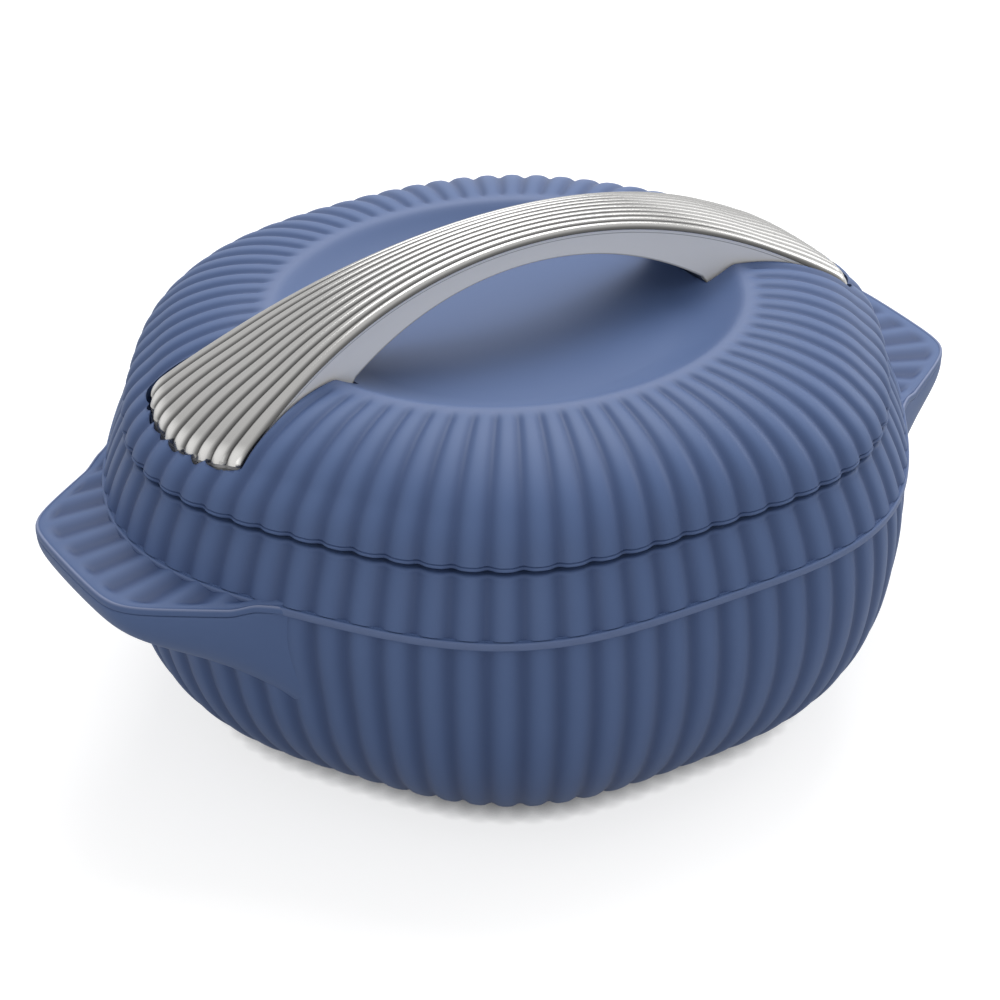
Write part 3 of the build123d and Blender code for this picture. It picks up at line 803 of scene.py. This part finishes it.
def gusset(name, middle):
    """The smooth gusset under an ear.

    Across, it follows the ear's outline above and an arch on the body below. Down, each line is a
    cubic that leaves the ear upright, rounds under it and sweeps in to the body."""
    across = np.linspace(-1.0, 1.0, 201)[:, None]
    down = np.linspace(0.0, 1.0, 41)[None, :]
    top_turn = math.radians(gusset_top_angle) * across
    foot_turn = math.radians(gusset_foot_angle) * across
    top_radius = ear_radius(top_turn) - gusset_inset
    top_height = lip_level(top_turn) - ear_thickness - gusset_gap
    foot_height = gusset_foot_height - gusset_foot_drop * across ** 4
    foot_radius = body_reach(foot_turn, foot_height) - gusset_sink
    hang = (top_radius - foot_radius).clip(0.0) / (ear_reach - body_radius - 0.8)
    weights = ((1 - down) ** 3, 3 * down * (1 - down) ** 2, 3 * down ** 2 * (1 - down), down ** 3)
    radii = (top_radius, top_radius, foot_radius + gusset_sweep * hang, foot_radius)
    upright = top_height - gusset_upright - gusset_upright * hang
    sweep_in = foot_height + gusset_sweep_rise * hang + gusset_root_rise * (1 - hang)
    heights = (top_height, upright, sweep_in, foot_height)
    radius = sum(weight * value for weight, value in zip(weights, radii))
    height = sum(weight * value for weight, value in zip(weights, heights))
    turn = top_turn + (foot_turn - top_turn) * down + middle
    points = np.stack((radius * np.cos(turn), radius * np.sin(turn), height), axis=-1)
    rows, columns = radius.shape
    quads = grid_quads(rows, columns, False, False)[:, ::-1]
    piece = make_piece(name, points.reshape(-1, 3), quads, None, 60.0, np.ones(rows * columns))
    thick = piece.modifiers.new("wall", "SOLIDIFY")
    thick.thickness = gusset_wall * MM
    thick.offset = -1.0
    return piece


for gusset_name, ear_middle in (("gusset_left", math.pi), ("gusset_right", 0.0)):
    sweep = gusset(gusset_name, ear_middle)
    settle(sweep, "body", "blue_plastic", slate_plastic, "body_shell")


# Handle: the plated, ribbed channel

end_crowding = np.pi / 2 * 0.86
crown_growth_start = 85.0
crown_growth_end = 112.0
# Painted shade in the grooves: where it starts across a rib and how dark it gets
groove_start = 0.45
groove_dark = 0.9
rib_mirror = 0.9
wall_lean_depth = 9.0
# Painted shade on the end walls, down by the pockets
end_wall_dark = 0.4
end_wall_start = 105.0
end_wall_end = 109.0
channel_end_wall = 3.15
channel_wall_share = 1.55
channel_top_wall = 2.4


def bow_top():
    """Top of the handle's cover, a grid along the bow by across it, with its tone.

    The height is the bow's arc, plus an elliptic crown across it, less a dip that grows towards each
    groove, and at the ends a roll that drops every rib's tip. The tone gives the ribs their grey, paints
    shade into the grooves and paints a highlight on the tips."""
    columns_per_rib = 12
    across = np.linspace(-1.0, 1.0, handle_ribs * columns_per_rib + 1)
    stations = np.sin(np.linspace(-1.0, 1.0, 181) * end_crowding) / math.sin(end_crowding)
    u, v = np.meshgrid(stations, across, indexing="ij")
    x = u * end_reach(v)
    place = np.abs(rib_place(v))
    place[:, ::columns_per_rib] = 1.0
    rib_depth = rib_depth_middle + rib_depth_growth * (np.abs(x) / handle_corner) ** 2
    gap_to_end = end_reach(v) - np.abs(x)
    over_tip = 1.0 - np.clip(gap_to_end / tip_roll_length, 0.0, 1.0)
    roll = tip_roll * (1.0 - np.sqrt(1.0 - 0.98 * over_tip ** 2))
    growth = smooth_step(crown_growth_start, crown_growth_end, np.abs(x))
    crown = handle_crown + (handle_end_crown - handle_crown) * growth
    z = bow_height(x) + crown * np.sqrt(1.0 - v ** 2) - rib_depth * place ** 2.4 - roll
    # Painted highlight on the rib tips and painted shade in the grooves
    tip = smooth_step(5.0, 1.5, gap_to_end) * (1.0 - place ** 2)
    groove = smooth_step(groove_start, 1.0, place) * (gap_to_end > 0.3)
    tone = (rib_shine + tip_shine * tip) * (1.0 - groove_dark * groove)
    return x, v * half_width(x), z, tone


def bow_walls(rim):
    """Loops of the handle's walls below the edge of its top, each with its tone.

    Depths are set near the edge, where a line of painted shade runs, and then are shares of the way to
    the arch, with painted shade at the foot; the end walls get painted shade too. The inset nears the
    wall's lean as the depth grows, and two last loops turn in under the wall."""
    at_end = np.abs(rim[:, 0]) > handle_corner - 0.5
    at_side = np.abs(np.abs(rim[:, 1]) - half_width(rim[:, 0])) < 0.3
    outward = np.sign(rim[:, :2]) * np.stack((at_end, at_side), axis=-1)
    foot = grip_arch(rim[:, 0])
    lean = wall_lean(rim[:, 0])
    # Painted shade on the end walls, down by the pockets
    wall_tone = 1.0 - end_wall_dark * smooth_step(end_wall_start, end_wall_end, np.abs(rim[:, 0]))
    # Each depth with its tone: a painted shade line below the edge and painted shade towards the foot
    upper = ((0.3, 1.0), (1.1, 1.0), (1.35, 0.35), (1.6, 1.0))
    lower = ((0.2, 1.0), (0.4, 1.0), (0.6, 1.0), (0.8, 1.0), (0.93, 1.0), (0.97, 0.6), (1.0, 0.3))
    start = upper[-1][0]
    depths = [(np.full(len(rim), depth), shade) for depth, shade in upper]
    depths += [(start + (rim[:, 2] - foot - start) * share, shade) for share, shade in lower]
    loops, tones = [], []
    for depth, shade in depths:
        inset = (0.15 + lean * (1.0 - np.exp(-depth / wall_lean_depth)))[:, None]
        loops.append(np.column_stack((rim[:, :2] - outward * inset, rim[:, 2] - depth)))
        tones.append(wall_tone * shade)
    for share, lift in ((1.4, 0.0), (1.5, 0.4)):
        loops.append(np.column_stack((rim[:, :2] - outward * (lean * share)[:, None], foot + lift)))
        tones.append(np.ones(len(rim)))
    return loops, tones


def bow_cover(name):
    """The handle's cover: a closed channel.

    Walls go down from the four sides of the ribbed top to the arch and turn in, and a second grid,
    made smaller by the walls, closes the channel below the top."""
    x, y, z, tone = bow_top()
    rows, columns = x.shape
    grid = np.arange(rows * columns).reshape(rows, columns)
    edge = np.concatenate((grid[:-1, 0], grid[-1, :-1], grid[:0:-1, -1], grid[0, :0:-1]))
    top = np.stack((x, y, z), axis=-1).reshape(-1, 3)
    loops, loop_tones = bow_walls(top[edge])
    shorter = (handle_corner - channel_end_wall) / handle_corner
    narrower = (half_width(x) - channel_wall_share * wall_lean(x)) / half_width(x)
    under = np.stack((x * shorter, y * narrower, bow_height(x) - channel_top_wall), axis=-1).reshape(-1, 3)
    count = len(edge)
    below = len(top) + len(loops) * count
    rings = [edge] + [len(top) + k * count + np.arange(count) for k in range(len(loops))] + [edge + below]
    quads = [grid_quads(rows, columns, False, False)]
    for upper, lower in zip(rings, rings[1:]):
        quads.append(np.stack((upper, lower, np.roll(lower, -1), np.roll(upper, -1)), axis=-1))
    quads.append(grid_quads(rows, columns, False, False, below)[:, ::-1])
    tones = np.concatenate([tone.reshape(-1), *loop_tones, np.ones(len(under))])
    piece = make_piece(name, np.vstack([top, *loops, under]), np.vstack(quads), None, 38.0, tones)
    mark(piece.data, "mirror", np.where(np.arange(len(tones)) < len(top), rib_mirror, 0.0))
    return piece


bow = bow_cover("bow_cover")
settle(bow, "lid", "chrome", bright_plating, "handle_cover")


# Steel bowl, lid tray, soft ring and base cover, which show when the lid is lifted or from below

steel_sheet = 0.8


def bowl_rows():
    """Profile of the bowl: inside from the floor up to the flange, round its edge and down outside."""
    corner = cubic(((55.0, 15.8), (85.0, 15.8), (85.0, 15.8), (90.3, 45.8)), np.linspace(0.0, 1.0, 20))
    line = np.vstack(((8.0, 15.8), (30.0, 15.8), corner, np.linspace((90.3, 45.8), (99.6, 98.4), 8)[1:]))
    inside = moved_in(line, -steel_sheet)
    mouth = np.array(((99.3, 99.2), (99.7, 100.0), (100.6, 100.4), (106.4, 100.4), (107.0, 100.2),
                      (107.0, 99.7), (106.6, 99.62), (100.9, 99.62), (100.1, 99.3)))
    profile = np.vstack((inside, mouth, line[::-1]))
    return rows_of(profile[:, 0], profile[:, 1], 0.0, 0.0, 0.0)


steel_bowl = turned("steel_bowl", bowl_rows(), columns=plain_columns, pole_start=True, pole_end=True,
                    crease=45.0)
settle(steel_bowl, "body", "steel", satin_steel, "inner_bowl")


def tray_rows():
    """Profile of the lid's tray: flange above, and below it a stepped, round-cornered plug."""
    upper = np.array(((8.6, 93.6), (60.0, 93.6), (93.0, 93.6), (94.8, 95.0), (94.8, 103.1), (95.6, 104.1),
                      (111.0, 104.1)))
    under = np.array(((111.3, 103.9), (111.3, 103.0), (97.4, 102.9), (96.2, 102.4), (96.0, 101.0),
                      (96.0, 94.6), (95.4, 93.1), (93.8, 92.4), (84.0, 92.4), (82.8, 92.6), (81.8, 93.1),
                      (60.0, 93.1), (30.0, 93.0), (29.0, 92.6), (28.0, 92.4), (8.6, 92.4)))
    oval = np.concatenate((np.zeros(6), [rim_oval, rim_oval, rim_oval], np.zeros(14)))
    profile = np.vstack((upper, under))
    return rows_of(profile[:, 0], profile[:, 1], oval, 0.0, 0.0)


lid_tray = turned("lid_tray", tray_rows(), columns=plain_columns, crease=40.0)
settle(lid_tray, "lid", "pale_plastic", pale_plastic, "lid_liner")


def ring_rows():
    """Profile of the soft ring: a flat back on the tray and two rounded lips towards the bowl."""
    line = np.array(((100.4, 102.9), (105.2, 102.9), (105.3, 102.2), (104.9, 101.2), (104.2, 100.75),
                     (103.5, 101.2), (102.8, 101.7), (102.1, 101.2), (101.4, 100.75), (100.7, 101.2),
                     (100.3, 102.2)))
    return rows_of(line[:, 0], line[:, 1], 0.0, 0.0, 0.0)


soft_ring = turned("soft_ring", ring_rows(), columns=plain_columns, crease=60.0)
settle(soft_ring, "lid", "silicone", soft_silicone, "lid_gasket")


def cover_rows():
    """Profile of the base cover: flat above, and below it a raised rim and two shallow rings."""
    line = np.array(((8.3, 2.2), (40.0, 2.2), (66.0, 2.2), (66.0, 0.8), (65.6, 0.4), (62.0, 0.4),
                     (61.5, 0.6), (61.0, 0.9), (42.0, 0.9), (41.5, 0.6), (41.0, 0.4), (38.0, 0.4),
                     (37.5, 0.6), (37.0, 0.9), (14.0, 0.9), (13.5, 0.6), (13.0, 0.4), (8.5, 0.4),
                     (8.3, 0.6)))
    return rows_of(line[:, 0], line[:, 1], 0.0, 0.0, 0.0)


foot_cover = turned("foot_cover", cover_rows(), columns=plain_columns, crease=40.0)
settle(foot_cover, "body", "blue_plastic", slate_plastic, "base_cover")

# Solids that keep their shape: hidden fillings, the core bar, plugs and screws
for node, finish in (
    ("body_foam", cell_foam),
    ("lid_foam", cell_foam),
    ("handle_core", dark_plastic),
    ("base_plug", dark_plastic),
    ("lid_plug", pale_plastic),
    ("handle_screws", satin_steel),
):
    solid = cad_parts[node]
    solid.data.materials.clear()
    solid.data.materials.append(finish)

# Floor and light, in metres: the floor's grey, its glow as seen and in gloss, the reach of its contact
# shadow, the even light from all round, and how much of a lamp shows in gloss

floor_half = 6.0
floor_grey = 0.50
floor_glow = 0.72
floor_glow_in_gloss = 0.35
contact_reach = 0.006
fill_level = 0.58
lamp_gloss = 0.12


def direct_rays(tree, gloss_share):
    """1 for what the camera or a transmitted ray sees, the share for what gloss shows, and 0 for light."""
    rays = tree.nodes.new("ShaderNodeLightPath")
    gloss = add_node(tree, "ShaderNodeMath", operation="MULTIPLY")
    gloss.inputs[1].default_value = gloss_share
    shown = add_node(tree, "ShaderNodeMath", operation="MAXIMUM")
    direct = add_node(tree, "ShaderNodeMath", operation="MAXIMUM")
    tree.links.new(rays.outputs["Is Glossy Ray"], gloss.inputs[0])
    tree.links.new(rays.outputs["Is Camera Ray"], shown.inputs[0])
    tree.links.new(gloss.outputs[0], shown.inputs[1])
    tree.links.new(shown.outputs[0], direct.inputs[0])
    tree.links.new(rays.outputs["Is Transmission Ray"], direct.inputs[1])
    return direct.outputs[0]


def placing(side, up, back, place):
    """A placing matrix from its three directions and its place, column after column."""
    turn = np.eye(4)
    turn[:3, 0], turn[:3, 1], turn[:3, 2], turn[:3, 3] = side, up, back, place
    return [list(row) for row in turn.T]


floor_mesh = bpy.data.meshes.new("floor")
floor_corners = [(x * floor_half, y * floor_half, 0.0) for x, y in ((-1, -1), (1, -1), (1, 1), (-1, 1))]
floor_mesh.from_pydata(floor_corners, [], [(0, 1, 2, 3)])
floor = bpy.data.objects.new("floor", floor_mesh)
bpy.context.scene.collection.objects.link(floor)

floor_paint = bpy.data.materials.new("floor_paint")
floor_paint.use_nodes = True
tree = floor_paint.node_tree
tree.nodes.clear()
sink = tree.nodes.new("ShaderNodeOutputMaterial")
matt = add_node(tree, "ShaderNodeBsdfDiffuse", Color=(floor_grey, floor_grey, floor_grey, 1.0))
seen = add_node(tree, "ShaderNodeEmission", Color=(1.0, 1.0, 1.0, 1.0))
level = add_node(tree, "ShaderNodeMath", operation="MULTIPLY")
level.inputs[1].default_value = floor_glow
nearby = add_node(tree, "ShaderNodeAmbientOcclusion", Distance=contact_reach, samples=4)
touched = add_node(tree, "ShaderNodeMath", operation="MULTIPLY")
tree.links.new(direct_rays(tree, floor_glow_in_gloss), level.inputs[0])
tree.links.new(level.outputs[0], touched.inputs[0])
tree.links.new(nearby.outputs["AO"], touched.inputs[1])
tree.links.new(touched.outputs[0], seen.inputs["Strength"])
both = tree.nodes.new("ShaderNodeAddShader")
tree.links.new(matt.outputs[0], both.inputs[0])
tree.links.new(seen.outputs[0], both.inputs[1])
tree.links.new(both.outputs[0], sink.inputs["Surface"])
floor_mesh.materials.append(floor_paint)

world = bpy.data.worlds.new("studio")
bpy.context.scene.world = world
world.use_nodes = True
tree = world.node_tree
tree.nodes.clear()
sink = tree.nodes.new("ShaderNodeOutputWorld")
fill = add_node(tree, "ShaderNodeBackground", Color=(1.0, 1.0, 1.0, 1.0), Strength=fill_level)
white = add_node(tree, "ShaderNodeBackground", Color=(1.0, 1.0, 1.0, 1.0), Strength=1.0)
pick = tree.nodes.new("ShaderNodeMixShader")
tree.links.new(direct_rays(tree, 1.0), pick.inputs["Fac"])
tree.links.new(fill.outputs[0], pick.inputs[1])
tree.links.new(white.outputs[0], pick.inputs[2])
tree.links.new(pick.outputs[0], sink.inputs["Surface"])


def soft_lamp(name, place, aim, size, power):
    """A square area lamp that faces a point."""
    lamp = bpy.data.lights.new(name, "AREA")
    lamp.shape = "SQUARE"
    lamp.size = size
    lamp.energy = power
    lamp.specular_factor = lamp_gloss
    holder = bpy.data.objects.new(name, lamp)
    back = np.array(place) - np.array(aim)
    back = back / np.linalg.norm(back)
    side = np.cross((0.0, 0.0, 1.0), back)
    side = side / np.linalg.norm(side)
    holder.matrix_world = placing(side, np.cross(back, side), back, place)
    bpy.context.scene.collection.objects.link(holder)


soft_lamp("lamp_over", place=(0.6, 0.65, 1.42), aim=(0.0, 0.0, 0.08), size=1.2, power=17.0)
soft_lamp("lamp_right", place=(1.6, 0.1, 0.7), aim=(0.0, 0.0, 0.08), size=0.9, power=7.0)
soft_lamp("lamp_front", place=(-1.0, -1.4, 0.4), aim=(0.0, 0.0, 0.06), size=1.2, power=3.2)

# Camera at the photograph's view: turned round the axis and raised, from a point on the axis near the
# seam's height
camera_turn = math.radians(31.8)
camera_rise = math.radians(30.6)
camera_distance = 1075.2
camera_aside = -2.88
camera_lift = -40.08
aim_height = 101.4
toward = np.array((
    -math.sin(camera_turn) * math.cos(camera_rise),
    -math.cos(camera_turn) * math.cos(camera_rise),
    math.sin(camera_rise),
))
right = np.array((math.cos(camera_turn), -math.sin(camera_turn), 0.0))
upward = np.cross(toward, right)
stand = toward * camera_distance + right * camera_aside + upward * camera_lift + (0.0, 0.0, aim_height)
camera = bpy.data.cameras.new("camera")
camera.sensor_width = 36.0
camera.lens = 123.0
eye = bpy.data.objects.new("camera", camera)
eye.matrix_world = placing(right, upward, toward, stand * MM)
bpy.context.scene.collection.objects.link(eye)
bpy.context.scene.camera = eye
bpy.context.scene.view_settings.view_transform = "Standard"
